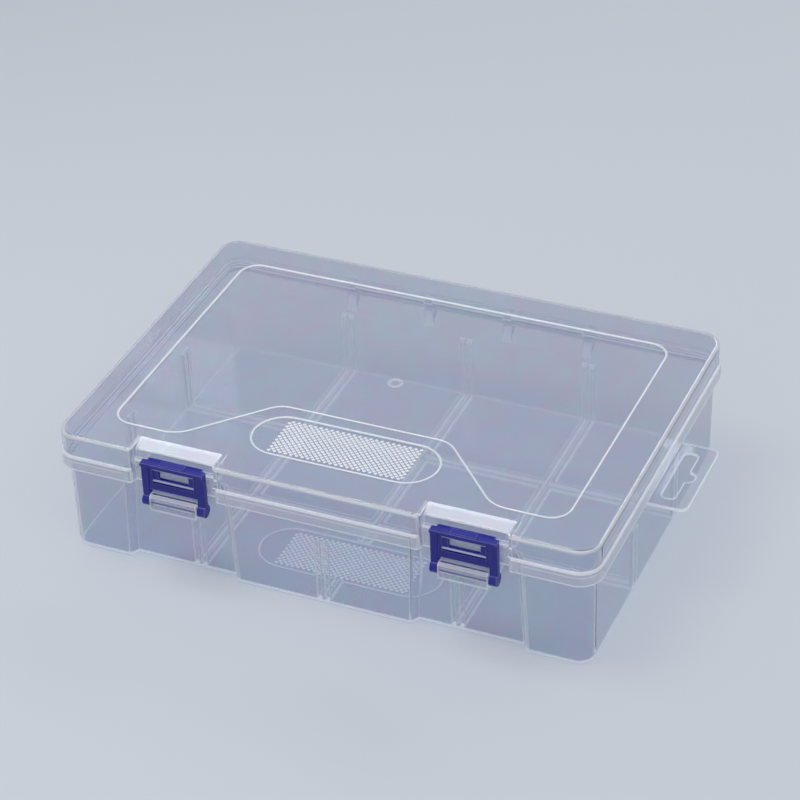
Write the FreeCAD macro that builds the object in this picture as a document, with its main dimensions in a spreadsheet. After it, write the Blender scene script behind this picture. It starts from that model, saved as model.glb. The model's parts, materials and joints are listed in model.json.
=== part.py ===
import FreeCAD, Part
import os
import types

import Sketcher

# Driving sizes in millimetres. X runs along the front, Y to the rear, Z up from the underside.
SIZES = {
    # lid
    "lid_width": 235.0,
    "lid_depth": 164.0,
    "box_height": 58.0,
    "tier_height": 10.0,
    "skirt_height": 6.8,
    "lid_step": 0.8,
    "lid_wall": 1.5,
    "lid_corner": 10.0,
    "top_round": 2.0,
    "ledge_round": 0.35,
    "ledge_foot_round": 0.2,
    "skirt_round": 0.5,
    # sunk panel on the lid, its front edge waving round the grip patch
    "panel_width": 197.0,
    "panel_rear": 64.2,
    "panel_front": 64.8,
    "panel_middle": 31.5,
    "wave_outer": 68.6,
    "wave_inner": 37.4,
    "panel_sink": 0.45,
    "panel_bevel": 0.36,
    "panel_corner": 8.5,
    "wave_outer_round": 14.0,
    "wave_inner_round": 11.0,
    # grip patch, one in the lid and one in the floor under it
    "patch_width": 80.6,
    "patch_depth": 26.2,
    "patch_forward": 50.8,
    "patch_sink": 0.4,
    "patch_bevel": 0.32,
    # moulding gate mark in the middle of the lid
    "gate_diameter": 6.2,
    "gate_bore": 4.4,
    "gate_rise": 0.25,
    # latch bays in lid and base
    "latch_offset": 63.0,
    "notch_width": 36.5,
    "bay_depth": 3.8,
    "bay_flare": 2.0,
    "bay_slope": 2.6,
    "notch_gap": 0.35,
    "notch_round": 2.8,
    "tier_round": 1.6,
    "bay_round": 1.6,
    "catch_depth": 1.9,
    "facet_rise": 2.9,
    "facet_run": 5.1,
    # tray
    "base_wall": 1.3,
    "floor_thick": 1.6,
    "wall_draft": 0.3,
    "bottom_round": 1.4,
    "rim_gap": 0.3,
    "rim_out": 1.2,
    "rim_height": 2.0,
    "seat_gap": 0.1,
    # divider guides: ribs on the walls and ridges on the floor
    "column_pitch": 57.0,
    "row_pitch": 51.0,
    "rib_width": 1.9,
    "slot_width": 1.7,
    "ridge_rise": 1.2,
    "rib_rise": 1.6,
    "rib_bevel": 1.2,
    "rib_drop": 15.4,
    # latch
    "latch_width": 28.0,
    "latch_gap": 0.35,
    "pivot_drop": 6.7,
    "pivot_inset": 1.45,
    "plate_thick": 2.2,
    "plate_foot": 5.5,
    "plate_top": 18.4,
    "rail_width": 3.3,
    "rail_rise": 0.7,
    "rail_round": 0.5,
    "lip_height": 1.5,
    "lip_out": 1.4,
    "thumb_width": 10.8,
    "thumb_rise": 0.6,
    "dish_width": 18.4,
    "dish_low": 9.2,
    "dish_high": 15.9,
    "dish_sink": 0.6,
    "ridge_width": 0.9,
    "ridge_out": 0.45,
    "ridge_round": 0.4,
    "window_width": 13.6,
    "window_low": 10.6,
    "window_high": 15.1,
    "hook_width": 24.0,
    "hook_reach": 1.5,
    "hook_gap": 0.15,
    "hook_round": 0.5,
    "knob_diameter": 5.6,
    "bar_diameter": 3.2,
    "bar_gap": 0.05,
    # clear clip on the tray that holds the latch bar
    "clip_side_gap": 0.3,
    "clip_top": 3.8,
    "clip_foot": 3.5,
    "clip_front": 3.1,
    "clip_back": 2.7,
    "clip_arm": 1.5,
    "clip_bevel": 1.1,
    "clip_mouth": 2.7,
    # hinge: a row of ears on the tray with knuckles of the lid between them
    "hinge_back": 3.2,
    "hinge_lift": 1.3,
    "knuckle_diameter": 5.8,
    "knuckle_width": 32.4,
    "ear_width": 4.0,
    "ear_gap": 0.3,
    "ear_drop": 0.3,
    "ear_foot": 9.0,
    "pin_diameter": 2.5,
    "pin_gap": 0.05,
    "press_gap": 0.01,
    # hang tab on the right side
    "tab_reach": 15.7,
    "tab_length": 43.8,
    "tab_shift": 1.4,
    "tab_thick": 1.3,
    "tab_drop": 0.3,
    "tab_corner": 3.5,
    "hang_length": 32.4,
    "hang_width": 6.0,
    "hang_margin": 6.8,
    "hang_round": 2.2,
    "hang_notch": 7.0,
}

doc = FreeCAD.newDocument("craft_storage_box")
sheet = doc.addObject("Spreadsheet::Sheet", "Sizes")
for row, (name, value) in enumerate(SIZES.items(), 1):
    sheet.set(f"A{row}", name)
    sheet.set(f"B{row}", str(value))
    sheet.setAlias(f"B{row}", name)
doc.recompute()


class Size:
    """A formula on the sheet together with the number that it gives now."""

    def __init__(self, text, value):
        self.text = text
        self.value = value

    def __add__(self, other):
        other = as_size(other)
        return Size(f"({self.text} + {other.text})", self.value + other.value)

    def __sub__(self, other):
        other = as_size(other)
        return Size(f"({self.text} - {other.text})", self.value - other.value)

    def __mul__(self, other):
        other = as_size(other)
        return Size(f"({self.text} * {other.text})", self.value * other.value)

    def __truediv__(self, other):
        other = as_size(other)
        return Size(f"({self.text} / {other.text})", self.value / other.value)

    def __neg__(self):
        return self * -1

    __rmul__ = __mul__


def as_size(thing):
    if isinstance(thing, Size):
        return thing
    return Size(str(thing), float(thing))


S = types.SimpleNamespace(**{name: Size("Sizes." + name, float(sheet.get(name))) for name in SIZES})
ZERO = as_size(0)

# Places that several pieces share.
ledge_height = S.box_height - S.tier_height
skirt_bottom = ledge_height - S.skirt_height
pivot_height = skirt_bottom - S.pivot_drop
hinge_height = skirt_bottom + S.hinge_lift
wall_inset = S.lid_wall + S.rim_gap + S.rim_out
half_wall_x = S.lid_width / 2 - wall_inset
half_wall_y = S.lid_depth / 2 - wall_inset
wall_corner = S.lid_corner - wall_inset
rim_top = ledge_height - S.lid_wall - S.seat_gap
rib_top = rim_top - S.rib_drop
foot_x = half_wall_x - S.wall_draft
foot_y = half_wall_y - S.wall_draft
inside_x = foot_x - S.base_wall
inside_y = foot_y - S.base_wall
half_bay = S.notch_width / 2 + S.lid_wall + S.notch_gap
bay_face = S.bay_depth - half_wall_y
notch_face = S.bay_depth - S.lid_depth / 2
pivot_y = notch_face - S.latch_gap - S.pivot_inset
catch_height = pivot_height + S.plate_top - S.lip_height - S.hook_gap
hinge_y = S.lid_depth / 2 + S.hinge_back
guide_width = S.rib_width * 2 + S.slot_width
clip_width = S.latch_width - S.rail_width * 2 - S.clip_side_gap * 2
ear_parting = S.knuckle_width + S.ear_gap * 2
knuckle_pitch = ear_parting + S.ear_width
pin_length = knuckle_pitch * 3 + S.ear_width
SIDES = (-1, 1)


def new_body(name):
    body = doc.addObject("PartDesign::Body", name)
    body.Label = name
    return body


def origin_plane(body, role):
    return [item for item in body.Origin.OriginFeatures if item.Role == role][0]


def new_sketch(body, name, role, offset=ZERO):
    """A sketch on one of the body's own origin planes, moved along the plane's normal."""
    sketch = body.newObject("Sketcher::SketchObject", f"{body.Name}_{name}_sketch")
    sketch.AttachmentSupport = [(origin_plane(body, role), "")]
    sketch.MapMode = "FlatFace"
    sketch.setExpression("AttachmentOffset.Base.z", offset.text)
    return sketch


def bind(sketch, kind, size, *places):
    """Adds a driving constraint and ties it to the sheet."""
    index = sketch.addConstraint(Sketcher.Constraint(kind, *places, size.value))
    sketch.setExpression(f"Constraints[{index}]", size.text)


def place(sketch, geometry, point, x, y):
    """Ties one sketch point to its two coordinates."""
    for kind, axis, size in (("DistanceX", -2, x), ("DistanceY", -1, y)):
        if size is ZERO:
            sketch.addConstraint(Sketcher.Constraint("PointOnObject", geometry, point, axis))
        else:
            bind(sketch, kind, size, geometry, point)


def polygon(sketch, points):
    first = sketch.GeometryCount
    count = len(points)
    corners = [FreeCAD.Vector(x.value, y.value, 0) for x, y in points]
    for index in range(count):
        sketch.addGeometry(Part.LineSegment(corners[index], corners[(index + 1) % count]), False)
    for index in range(count):
        after = first + (index + 1) % count
        sketch.addConstraint(Sketcher.Constraint("Coincident", first + index, 2, after, 1))
    for index, (x, y) in enumerate(points):
        place(sketch, first + index, 1, x, y)


def rectangle(sketch, left, right, low, high):
    polygon(sketch, [(left, low), (right, low), (right, high), (left, high)])


def circle(sketch, x, y, diameter):
    centre = FreeCAD.Vector(x.value, y.value, 0)
    index = sketch.addGeometry(Part.Circle(centre, FreeCAD.Vector(0, 0, 1), diameter.value / 2), False)
    place(sketch, index, 3, x, y)
    bind(sketch, "Diameter", diameter, index)


def stadium(sketch, y, width, depth):
    """A slot shape with round ends, centred on the Y axis."""
    reach = width / 2 - depth / 2
    radius = depth / 2
    first = sketch.GeometryCount
    up = FreeCAD.Vector(0, 0, 1)
    quarter = 1.5707963267948966
    left = FreeCAD.Vector(-reach.value, y.value, 0)
    right = FreeCAD.Vector(reach.value, y.value, 0)
    rise = FreeCAD.Vector(0, radius.value, 0)
    sketch.addGeometry(Part.LineSegment(left - rise, right - rise), False)
    sketch.addGeometry(Part.ArcOfCircle(Part.Circle(right, up, radius.value), -quarter, quarter), False)
    sketch.addGeometry(Part.LineSegment(right + rise, left + rise), False)
    sketch.addGeometry(Part.ArcOfCircle(Part.Circle(left, up, radius.value), quarter, 3 * quarter), False)
    for index in range(4):
        after = first + (index + 1) % 4
        sketch.addConstraint(Sketcher.Constraint("Tangent", first + index, 2, after, 1))
    place(sketch, first + 1, 3, reach, y)
    place(sketch, first + 3, 3, -reach, y)
    bind(sketch, "Radius", radius, first + 1)
    sketch.addConstraint(Sketcher.Constraint("Equal", first + 1, first + 3))


def settle(feature):
    doc.recompute()
    if not feature.isValid():
        raise RuntimeError(f"{feature.Name}: {feature.getStatusString()}")
    return feature


def grow(body, name, kind, sketch, length, reverse, both):
    feature = body.newObject(kind, f"{body.Name}_{name}")
    feature.Profile = sketch
    feature.SideType = "Symmetric" if both else "One side"
    feature.Reversed = reverse
    feature.setExpression("Length", length.text)
    return settle(feature)


def pad(body, name, sketch, length, both=False):
    return grow(body, name, "PartDesign::Pad", sketch, length, False, both)


def pocket(body, name, sketch, length, reverse=False, both=False):
    """Cuts along the sketch normal when reversed, against it otherwise, and proves that it cut."""
    before = body.Tip.Shape.Volume
    feature = grow(body, name, "PartDesign::Pocket", sketch, length, reverse, both)
    if not feature.Shape.Volume < before:
        raise RuntimeError(feature.Name + " cuts nothing")
    return feature


def round_edges(body, name, radius, wanted, kind="PartDesign::Fillet", measure="Radius"):
    """Rounds or bevels the edges of the body so far for which wanted(edge) holds."""
    base = body.Tip
    names = [f"Edge{index}" for index, edge in enumerate(base.Shape.Edges, 1) if wanted(edge)]
    feature = body.newObject(kind, f"{body.Name}_{name}")
    feature.Base = (base, names)
    feature.setExpression(measure, radius.text)
    return settle(feature)


def mirror(body, name, features):
    """Repeats left hand features on the right."""
    feature = body.newObject("PartDesign::Mirrored", f"{body.Name}_{name}")
    feature.Originals = features
    feature.MirrorPlane = (origin_plane(body, "YZ_Plane"), [""])
    body.Tip = feature
    return settle(feature)


def near(number, size):
    return abs(number - as_size(size).value) < 0.02


def upright(edge, low, high):
    """True for an edge that climbs from one height to the other."""
    box = edge.BoundBox
    return near(box.ZMin, low) and near(box.ZMax, high)


def at_corner(edge):
    """True for an edge at one of the four corners of the tray's walls, inside or out."""
    middle = edge.CenterOfMass
    slack = S.base_wall.value + S.rim_out.value
    return abs(abs(middle.x) - foot_x.value) < slack and abs(abs(middle.y) - foot_y.value) < slack


def flat_at(edge, height):
    box = edge.BoundBox
    return near(box.ZMin, height) and near(box.ZMax, height)


def add_walls(body):
    """Drafted outer walls with the rim bead, hollowed to the floor."""
    foot = new_sketch(body, "foot", "XY_Plane")
    rectangle(foot, -foot_x, foot_x, -foot_y, foot_y)
    mouth = new_sketch(body, "mouth", "XY_Plane", rim_top)
    rectangle(mouth, -half_wall_x, half_wall_x, -half_wall_y, half_wall_y)
    loft(body, "walls", "PartDesign::AdditiveLoft", foot, mouth)
    rim_low = rim_top - S.rim_height
    rim_x = half_wall_x + S.rim_out
    rim_y = half_wall_y + S.rim_out
    rim = new_sketch(body, "rim", "XY_Plane", rim_low)
    rectangle(rim, -rim_x, rim_x, -rim_y, rim_y)
    pad(body, "rim", rim, S.rim_height)
    well_foot = new_sketch(body, "well_foot", "XY_Plane", S.floor_thick)
    rectangle(well_foot, -inside_x, inside_x, -inside_y, inside_y)
    well_x = half_wall_x - S.base_wall
    well_y = half_wall_y - S.base_wall
    well_mouth = new_sketch(body, "well_mouth", "XY_Plane", rim_top)
    rectangle(well_mouth, -well_x, well_x, -well_y, well_y)
    loft(body, "well", "PartDesign::SubtractiveLoft", well_foot, well_mouth)


def round_tray(body):
    """Rounds the corners of well, wall and rim, the sides of the bays and the bottom edge."""
    rim_low = rim_top - S.rim_height
    corners = (("well", wall_corner - S.base_wall, S.floor_thick, rim_top),
               ("wall", wall_corner, ZERO, rim_low),
               ("rim", wall_corner + S.rim_out, rim_low, rim_top))
    for name, radius, start, end in corners:
        round_edges(body, name + "_corners", radius,
                    lambda edge: upright(edge, start, end) and at_corner(edge))
    round_edges(body, "bay_edges", S.bay_round, bay_edge)
    round_edges(body, "bottom_edge", S.bottom_round, lambda edge: flat_at(edge, ZERO))


def loft(body, name, kind, first, last):
    feature = body.newObject(kind, f"{body.Name}_{name}")
    feature.Profile = first
    feature.Sections = [last]
    feature.Ruled = True
    return settle(feature)


def add_bay(body):
    """The left latch bay: a wall set back from the front, with sides that slope out to the front wall."""
    inside = -bay_face - S.base_wall
    outside = half_wall_y + S.rim_out
    slope = S.bay_slope / S.bay_depth
    back = bay_outline(body, "bay_back", inside, half_bay + S.base_wall)
    skin = bay_outline(body, "bay_skin", foot_y - S.base_wall / 2, half_bay + S.base_wall + S.bay_slope)
    backing = loft(body, "bay_backing", "PartDesign::AdditiveLoft", back, skin)
    face = bay_outline(body, "bay_face", -bay_face, half_bay)
    mouth = bay_outline(body, "bay_mouth", outside, half_bay + slope * (S.bay_depth + S.rim_out))
    return [backing, loft(body, "bay", "PartDesign::SubtractiveLoft", face, mouth)]


def bay_outline(body, name, forward, half_width):
    """A bay seen from the front, wider at the bottom, on a plane this far forward."""
    sketch = new_sketch(body, name, "XZ_Plane", forward)
    low = half_width + S.bay_flare
    polygon(sketch, [(-S.latch_offset - low, ZERO), (low - S.latch_offset, ZERO),
                     (half_width - S.latch_offset, rim_top), (-S.latch_offset - half_width, rim_top)])
    return sketch


def bay_edge(edge):
    """The two outer edges on each side of a bay, apart from those in the rim bead."""
    box = edge.BoundBox
    middle = edge.CenterOfMass
    tall = box.ZLength > (rim_top.value - S.rim_height.value) * 0.9
    reach = S.bay_flare.value + S.bay_slope.value
    beside = abs(abs(abs(middle.x) - S.latch_offset.value) - half_bay.value) < reach
    outer = near(box.ZMin, ZERO) and middle.y < bay_face.value + S.wall_draft.value
    return tall and beside and outer


def add_guides(body):
    """Pairs of ribs on the walls and of ridges on the floor, with a divider slot between each pair."""
    half_guide = guide_width / 2
    half_slot = S.slot_width / 2
    embed = S.base_wall / 2
    bay_inside = -bay_face - S.base_wall
    ridge_x = new_sketch(body, "row_ridges", "XY_Plane", S.floor_thick)
    ridge_y = new_sketch(body, "column_ridges", "XY_Plane", S.floor_thick)
    ribs = new_sketch(body, "wall_ribs", "XY_Plane", S.floor_thick)
    slot_x = new_sketch(body, "row_slots", "XY_Plane", S.floor_thick)
    slot_y = new_sketch(body, "column_slots", "XY_Plane", S.floor_thick)
    for side in SIDES:
        row = S.row_pitch / 2 * side
        rectangle(ridge_x, -inside_x - embed, inside_x + embed, row - half_guide, row + half_guide)
        rectangle(slot_x, -inside_x, inside_x, row - half_slot, row + half_slot)
        for wall in SIDES:
            ends = sorted([inside_x * wall - S.rib_rise * wall, inside_x * wall + embed * wall],
                          key=lambda size: size.value)
            rectangle(ribs, *ends, row - half_guide, row + half_guide)
    for step in (-1, 0, 1):
        column = S.column_pitch * step
        front = inside_y if step == 0 else bay_inside
        rectangle(ridge_y, column - half_guide, column + half_guide, -front - embed, inside_y + embed)
        rectangle(slot_y, column - half_slot, column + half_slot, -front, inside_y)
        rectangle(ribs, column - half_guide, column + half_guide,
                  inside_y - S.rib_rise, inside_y + embed)
        rectangle(ribs, column - half_guide, column + half_guide,
                  -front - embed, S.rib_rise - front)
    pad(body, "row_ridges", ridge_x, S.ridge_rise)
    pad(body, "column_ridges", ridge_y, S.ridge_rise)
    pad(body, "wall_ribs", ribs, rib_top - S.floor_thick)
    pocket(body, "row_slots", slot_x, rib_top - S.floor_thick, reverse=True)
    pocket(body, "column_slots", slot_y, rib_top - S.floor_thick, reverse=True)
    round_edges(body, "rib_tops", S.rib_bevel, rib_head, "PartDesign::Chamfer", "Size")
    patch = new_sketch(body, "patch", "XY_Plane", S.floor_thick - S.patch_sink)
    stadium(patch, -S.patch_forward, S.patch_width, S.patch_depth)
    pocket(body, "patch", patch, S.ridge_rise + S.patch_sink, reverse=True)


def rib_head(edge):
    """The top edge of a rib that faces into the tray."""
    middle = edge.CenterOfMass
    beside_bay = near(middle.y, bay_face + S.base_wall + S.rib_rise)
    ends = near(abs(middle.x), inside_x - S.rib_rise) or near(abs(middle.y), inside_y - S.rib_rise)
    return flat_at(edge, rib_top) and (ends or beside_bay)


def add_clip(body):
    """The clip that the left latch bar snaps into from below, on the wall of its bay."""
    root = bay_face + S.base_wall / 2
    top = pivot_height + S.clip_top
    foot = pivot_height - S.clip_foot
    front = pivot_y - S.clip_front
    back = pivot_y + S.clip_back
    arm_low = top - S.clip_arm
    half_mouth = S.clip_mouth / 2
    shell = new_sketch(body, "clip", "YZ_Plane", -S.latch_offset)
    polygon(shell, [(root, top), (front + S.clip_bevel, top), (front, top - S.clip_bevel), (front, foot),
                    (back, foot), (back, arm_low), (root, arm_low)])
    bore = new_sketch(body, "clip_bore", "YZ_Plane", -S.latch_offset)
    circle(bore, pivot_y, pivot_height, S.bar_diameter + S.bar_gap * 2)
    mouth = new_sketch(body, "clip_mouth", "YZ_Plane", -S.latch_offset)
    rectangle(mouth, pivot_y - half_mouth, pivot_y + half_mouth, foot, pivot_height)
    return [pad(body, "clip", shell, clip_width, both=True),
            pocket(body, "clip_bore", bore, clip_width, both=True),
            pocket(body, "clip_mouth", mouth, clip_width, both=True)]


def add_ears(body):
    """Four hinge ears in a row on the rear wall, bored for the pin, with gaps for the lid's knuckles."""
    top = skirt_bottom - S.ear_drop
    reach = S.knuckle_diameter / 2
    web = new_sketch(body, "ear_web", "YZ_Plane")
    root = foot_y - S.base_wall / 2
    polygon(web, [(root, skirt_bottom - S.ear_foot), (hinge_y, hinge_height - reach),
                  (hinge_y, top), (root, top)])
    pad(body, "ear_web", web, pin_length, both=True)
    eye = new_sketch(body, "ear_eye", "YZ_Plane")
    circle(eye, hinge_y, hinge_height, S.knuckle_diameter)
    pad(body, "ear_eye", eye, pin_length, both=True)
    bore = new_sketch(body, "ear_bore", "YZ_Plane")
    circle(bore, hinge_y, hinge_height, S.pin_diameter + S.press_gap * 2)
    pocket(body, "ear_bore", bore, pin_length, both=True)
    for step, name in ((-1, "left"), (0, "middle"), (1, "right")):
        gap = new_sketch(body, "ear_gap_" + name, "YZ_Plane", knuckle_pitch * step)
        rectangle(gap, half_wall_y, hinge_y + reach, skirt_bottom - S.ear_foot, hinge_height + reach)
        pocket(body, "ear_gap_" + name, gap, ear_parting, both=True)


def add_tab(body):
    """The hang tab under the lid's skirt on the right side, with its slot."""
    top = skirt_bottom - S.tab_drop
    low = top - S.tab_thick
    tip = S.lid_width / 2 + S.tab_reach
    half_length = S.tab_length / 2
    tab = new_sketch(body, "tab", "XY_Plane", low)
    rectangle(tab, foot_x - S.base_wall / 2, tip, S.tab_shift - half_length, S.tab_shift + half_length)
    pad(body, "tab", tab, S.tab_thick)
    round_edges(body, "tab_corners", S.tab_corner,
                lambda edge: upright(edge, low, top) and near(edge.CenterOfMass.x, tip))
    far = tip - S.hang_margin
    half_hang = S.hang_length / 2
    hang = new_sketch(body, "hang_slot", "XY_Plane", low)
    rectangle(hang, far - S.hang_width, far, S.tab_shift - half_hang, S.tab_shift + half_hang)
    pocket(body, "hang_slot", hang, S.tab_thick, reverse=True)
    round_edges(body, "hang_slot_corners", S.hang_round,
                lambda edge: upright(edge, low, top) and near(abs(edge.CenterOfMass.y - S.tab_shift.value),
                                                              half_hang))
    notch = new_sketch(body, "hang_notch", "XY_Plane", low)
    circle(notch, far, S.tab_shift, S.hang_notch)
    pocket(body, "hang_notch", notch, S.tab_thick, reverse=True)


def make_base():
    body = new_body("base_tray")
    add_walls(body)
    mirror(body, "right_hand", add_bay(body) + add_clip(body))
    add_ears(body)
    add_guides(body)
    add_tab(body)
    round_tray(body)
    return body


def add_lid_shell(body):
    """Skirt, ledge and upper tier, hollowed from below."""
    skirt_x = S.lid_width / 2
    skirt_y = S.lid_depth / 2
    tier_x = skirt_x - S.lid_step
    tier_y = skirt_y - S.lid_step
    ledge_under = ledge_height - S.lid_wall
    top_under = S.box_height - S.lid_wall
    skirt = new_sketch(body, "skirt", "XY_Plane", skirt_bottom)
    rectangle(skirt, -skirt_x, skirt_x, -skirt_y, skirt_y)
    pad(body, "skirt", skirt, ledge_height - skirt_bottom)
    tier = new_sketch(body, "tier", "XY_Plane", ledge_height)
    rectangle(tier, -tier_x, tier_x, -tier_y, tier_y)
    pad(body, "tier", tier, S.box_height - ledge_height)
    low = new_sketch(body, "skirt_hollow", "XY_Plane", skirt_bottom)
    hollow(low, skirt_x, skirt_y)
    pocket(body, "skirt_hollow", low, ledge_under - skirt_bottom, reverse=True)
    high = new_sketch(body, "tier_hollow", "XY_Plane", ledge_under)
    hollow(high, tier_x, tier_y)
    pocket(body, "tier_hollow", high, top_under - ledge_under, reverse=True)

    tier_corner = S.lid_corner - S.lid_step
    corners = (("skirt_hollow", S.lid_corner - S.lid_wall, skirt_bottom, ledge_under),
               ("tier_hollow", tier_corner - S.lid_wall, ledge_under, top_under),
               ("skirt", S.lid_corner, skirt_bottom, ledge_height),
               ("tier", tier_corner, ledge_height, S.box_height))
    for name, radius, start, end in corners:
        round_edges(body, name + "_corners", radius, lambda edge: upright(edge, start, end))
    round_edges(body, "top_edge", S.top_round, lambda edge: flat_at(edge, S.box_height))
    loops = (("ledge_edge", S.ledge_round, ledge_height, skirt_x, skirt_y),
             ("ledge_foot", S.ledge_foot_round, ledge_height, tier_x, tier_y),
             ("skirt_edge", S.skirt_round, skirt_bottom, skirt_x, skirt_y))
    for name, radius, height, half_x, half_y in loops:
        round_edges(body, name, radius, lambda edge: on_loop(edge, height, half_x, half_y))


def on_loop(edge, height, half_x, half_y):
    """True for an edge of the level loop that reaches this far from the middle."""
    box = edge.BoundBox
    reach_x = max(abs(box.XMin), abs(box.XMax))
    reach_y = max(abs(box.YMin), abs(box.YMax))
    return flat_at(edge, height) and (near(reach_x, half_x) or near(reach_y, half_y))


def hollow(sketch, half_x, half_y):
    inner_x = half_x - S.lid_wall
    inner_y = half_y - S.lid_wall
    rectangle(sketch, -inner_x, inner_x, -inner_y, inner_y)


def add_notch(body):
    """The left latch notch: a flush lower face, the catch ledge, a short wall and the sloping facet."""
    outside = -S.lid_depth / 2
    tier_face = outside + S.lid_step
    catch_wall = notch_face + S.catch_depth
    facet_foot = S.box_height - S.facet_rise
    facet_head = catch_wall + S.facet_run
    wall = S.lid_wall
    backing = new_sketch(body, "notch_backing", "YZ_Plane", -S.latch_offset)
    polygon(backing, [(tier_face + wall / 2, skirt_bottom),
                      (notch_face + wall, skirt_bottom),
                      (notch_face + wall, catch_height - wall),
                      (catch_wall + wall, catch_height - wall),
                      (catch_wall + wall, facet_foot - wall / 2),
                      (facet_head + wall, S.box_height - wall),
                      (tier_face + wall / 2, S.box_height - wall)])
    notch = new_sketch(body, "notch", "YZ_Plane", -S.latch_offset)
    polygon(notch, [(outside, skirt_bottom),
                    (notch_face, skirt_bottom),
                    (notch_face, catch_height),
                    (catch_wall, catch_height),
                    (catch_wall, facet_foot),
                    (facet_head, S.box_height),
                    (outside, S.box_height)])
    skirt_ends = new_sketch(body, "skirt_ends", "XY_Plane", skirt_bottom)
    tier_ends = new_sketch(body, "tier_ends", "XY_Plane", ledge_height)
    for side in SIDES:
        corner = S.notch_width / 2 * side - S.latch_offset
        corner_waste(skirt_ends, corner, outside, S.notch_round, side)
        corner_waste(tier_ends, corner, tier_face, S.tier_round, side)
    return [pad(body, "notch_backing", backing, S.notch_width + wall * 2, both=True),
            pocket(body, "notch", notch, S.notch_width, both=True),
            pocket(body, "skirt_ends", skirt_ends, ledge_height - skirt_bottom, reverse=True),
            pocket(body, "tier_ends", tier_ends, S.box_height - ledge_height, reverse=True)]


def corner_waste(sketch, x, y, radius, side):
    """What a rounded upright corner leaves to be cut: two straight edges and a hollow arc."""
    first = sketch.GeometryCount
    along = x + radius * side
    inward = y + radius
    corner = FreeCAD.Vector(x.value, y.value, 0)
    front = FreeCAD.Vector(along.value, y.value, 0)
    back = FreeCAD.Vector(x.value, inward.value, 0)
    middle = FreeCAD.Vector(along.value, inward.value, 0)
    between = middle + (corner - middle).normalize() * radius.value
    sketch.addGeometry(Part.LineSegment(back, corner), False)
    sketch.addGeometry(Part.LineSegment(corner, front), False)
    arc = Part.Arc(front, between, back)
    sketch.addGeometry(arc, False)
    place(sketch, first, 1, x, inward)
    place(sketch, first + 1, 1, x, y)
    place(sketch, first + 1, 2, along, y)
    sketch.addConstraint(Sketcher.Constraint("Coincident", first, 2, first + 1, 1))
    start, end = (1, 2) if near(sketch.getPoint(first + 2, 1).x, along) else (2, 1)
    sketch.addConstraint(Sketcher.Constraint("Tangent", first + 1, 2, first + 2, start))
    sketch.addConstraint(Sketcher.Constraint("Coincident", first, 1, first + 2, end))


def add_panel(body):
    """The sunk panel, the grip patch in front of it and the gate mark in its middle."""
    half_x = S.panel_width / 2
    floor = S.box_height - S.panel_sink
    corners = [(half_x, S.panel_rear), (half_x, -S.panel_front),
               (S.wave_outer, -S.panel_front), (S.wave_inner, -S.panel_middle)]
    outline = corners + [(-x, y) for x, y in reversed(corners)]
    panel = new_sketch(body, "panel", "XY_Plane", floor)
    polygon(panel, outline)
    pocket(body, "panel", panel, S.panel_sink, reverse=True)

    def panel_edge(size_x, edge):
        return upright(edge, floor, S.box_height) and near(abs(edge.CenterOfMass.x), size_x)

    rounds = (("panel_corners", half_x, S.panel_corner),
              ("panel_wave_outer", S.wave_outer, S.wave_outer_round),
              ("panel_wave_inner", S.wave_inner, S.wave_inner_round))
    for name, size_x, radius in rounds:
        round_edges(body, name, radius, lambda edge: panel_edge(size_x, edge))
    round_edges(body, "panel_bevel", S.panel_bevel,
                lambda edge: within(edge, half_x, S.panel_rear, S.panel_front),
                "PartDesign::Chamfer", "Size")
    patch = new_sketch(body, "patch", "XY_Plane", S.box_height - S.patch_sink)
    stadium(patch, -S.patch_forward, S.patch_width, S.patch_depth)
    pocket(body, "patch", patch, S.patch_sink, reverse=True)
    patch_rear = S.patch_depth / 2 - S.patch_forward
    patch_front = S.patch_depth / 2 + S.patch_forward
    round_edges(body, "patch_bevel", S.patch_bevel,
                lambda edge: within(edge, S.patch_width / 2, patch_rear, patch_front),
                "PartDesign::Chamfer", "Size")
    gate = new_sketch(body, "gate", "XY_Plane", floor)
    circle(gate, ZERO, ZERO, S.gate_diameter)
    circle(gate, ZERO, ZERO, S.gate_bore)
    pad(body, "gate", gate, S.gate_rise)


def within(edge, half_x, rear, front):
    """True for an edge of the lid's top face that stays inside a rectangle."""
    box = edge.BoundBox
    slack = 0.02
    return (flat_at(edge, S.box_height)
            and box.XMin > -half_x.value - slack and box.XMax < half_x.value + slack
            and box.YMin > -front.value - slack and box.YMax < rear.value + slack)


def add_knuckles(body):
    """The lid's half of the hinge: three knuckles on the rear skirt, bored for the pin."""
    root = S.lid_depth / 2 - S.lid_wall / 2
    reach = S.knuckle_diameter / 2
    for step, name in ((-1, "left"), (0, "middle"), (1, "right")):
        arm = new_sketch(body, "knuckle_arm_" + name, "YZ_Plane", knuckle_pitch * step)
        rectangle(arm, root, hinge_y, skirt_bottom, hinge_height + reach)
        pad(body, "knuckle_arm_" + name, arm, S.knuckle_width, both=True)
        eye = new_sketch(body, "knuckle_eye_" + name, "YZ_Plane", knuckle_pitch * step)
        circle(eye, hinge_y, hinge_height, S.knuckle_diameter)
        pad(body, "knuckle_eye_" + name, eye, S.knuckle_width, both=True)
    bore = new_sketch(body, "knuckle_bore", "YZ_Plane")
    circle(bore, hinge_y, hinge_height, S.pin_diameter + S.pin_gap * 2)
    pocket(body, "knuckle_bore", bore, pin_length, both=True)


def make_lid():
    body = new_body("lid")
    add_lid_shell(body)
    mirror(body, "right_hand", add_notch(body))
    add_knuckles(body)
    add_panel(body)
    return body


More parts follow.
